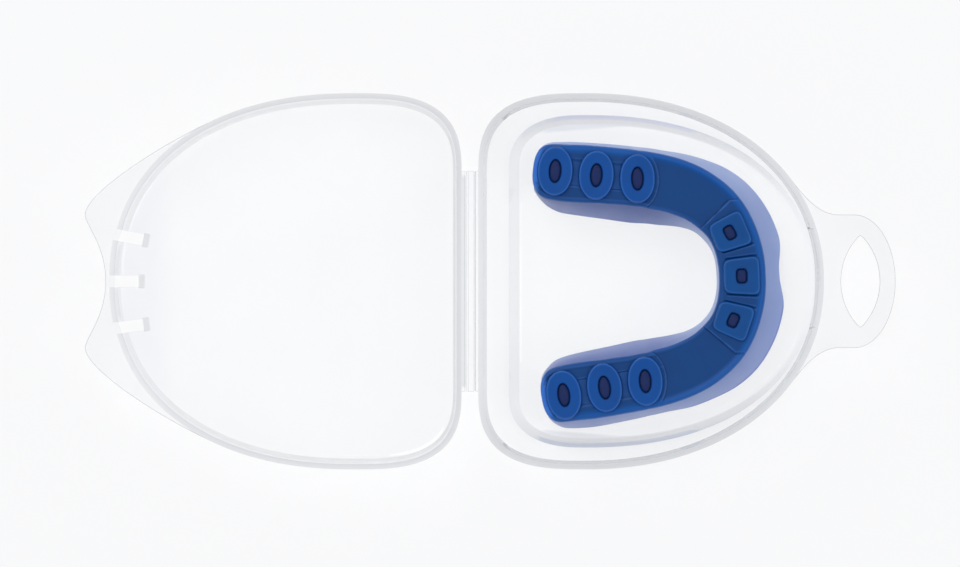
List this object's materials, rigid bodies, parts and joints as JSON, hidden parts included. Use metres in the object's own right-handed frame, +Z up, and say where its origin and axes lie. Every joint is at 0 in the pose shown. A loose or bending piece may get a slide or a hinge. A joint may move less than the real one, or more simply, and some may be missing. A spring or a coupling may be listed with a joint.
{
  "type": "mouthguard with case",
  "caption": "Moulded sports mouthguard with a padded bite frame and soft liner, lying in a clear hinged clamshell case with a hang tab and ear flange.",
  "frame": {"origin": "middle of the base's underside, on the table plane", "axes": "+X from the hinge towards the hang tab, +Y across the case, +Z up out of the open halves"},
  "size_m": [0.1802, 0.0836, 0.0178],
  "materials": {
    "clear_case": "clear moulded polypropylene, glossy",
    "blue_frame": "firm royal blue elastomer, satin",
    "violet_liner": "soft translucent violet-blue liner, satin"
  },
  "bodies": {
    "base": {"base_well": "clear_case", "base_ledge": "clear_case", "base_rim": "clear_case", "base_lip": "clear_case", "latch_bead": "clear_case", "hang_tab": "clear_case", "base_hinge_leaf": "clear_case"},
    "hinge_land": {"hinge_land": "clear_case"},
    "lid": {"lid_hinge_leaf": "clear_case", "lid_panel": "clear_case", "lid_skirt": "clear_case", "lid_ear_flange": "clear_case", "lid_latch_catches": "clear_case", "slot_end_ribs": "clear_case"},
    "mouthguard": {"fit_liner": "violet_liner", "liner_plugs": "violet_liner", "bite_frame": "blue_frame", "molar_pads_left": "blue_frame", "molar_pads_right": "blue_frame", "incisor_pads": "blue_frame"}
  },
  "joints": [
    {"name": "flex_at_base", "type": "hinge", "parent": "base", "child": "hinge_land", "pos_m": [-0.03925, 0, 0.01215], "axis": [0, 1, 0], "range_deg": [0, 90]},
    {"name": "flex_at_lid", "type": "hinge", "parent": "hinge_land", "child": "lid", "pos_m": [-0.04125, 0, 0.01215], "axis": [0, 1, 0], "range_deg": [0, 90]},
    {"name": "guard_lift_out", "type": "slide", "parent": "base", "child": "mouthguard", "axis": [0, 0, 1], "range_m": [0, 0.06]}
  ]
}
